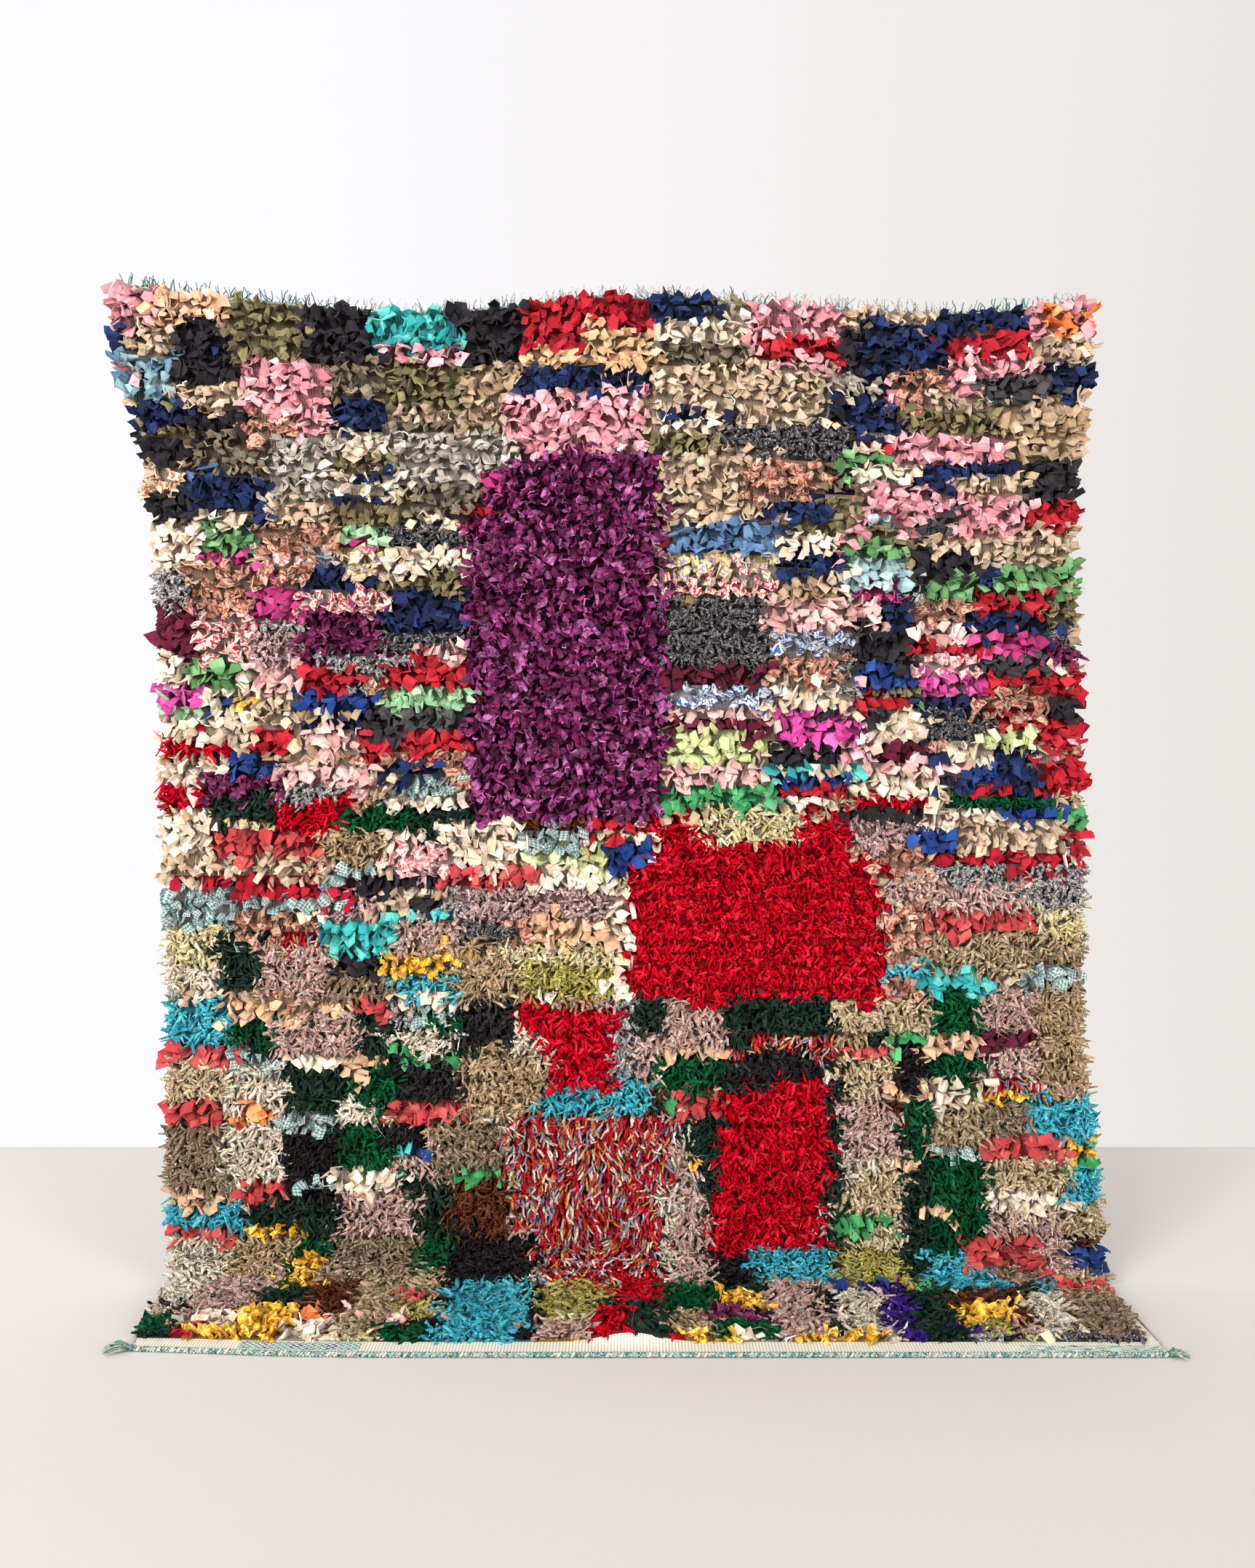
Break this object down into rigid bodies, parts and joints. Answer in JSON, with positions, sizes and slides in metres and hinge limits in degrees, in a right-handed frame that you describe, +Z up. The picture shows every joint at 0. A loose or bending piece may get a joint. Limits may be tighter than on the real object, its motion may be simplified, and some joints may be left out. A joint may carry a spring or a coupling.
{
  "type": "boucherouite rug",
  "caption": "Shaggy rag rug held up by its top edge, its lower end swept forward on the floor: rolls of rag tufts on a woven ground, a plain woven end band, a twined cord and cut warp ends.",
  "frame": {"origin": "the place near the middle of the top edge where the rug is held", "axes": "X runs along the top edge, to the right as seen from the pile's side; -Y is the side that the pile faces and the way the lower end is swept; Z is up, with the floor at Z = -1.460"},
  "size_m": [1.5103, 0.3324, 1.4943],
  "materials": {
    "pile": "many-coloured cut rag and wool tufts, matte",
    "side_tufts": "rag and wool tufts of the outermost knots, matte",
    "warp_ends": "cut cotton warp ends, matte",
    "twined_cord": "cotton cord twined from teal and white yarn, matte",
    "ground": "plain cotton weave with rows of knots on its back, matte"
  },
  "bodies": {
    "root": {"rug": "pile", "rim_left": "side_tufts", "rim_right": "side_tufts", "rim_left_floor": "side_tufts", "rim_right_floor": "side_tufts", "warp_fringe": "warp_ends", "end_cord": "twined_cord", "corner_left": "warp_ends", "corner_right": "warp_ends"}
  },
  "joints": []
}
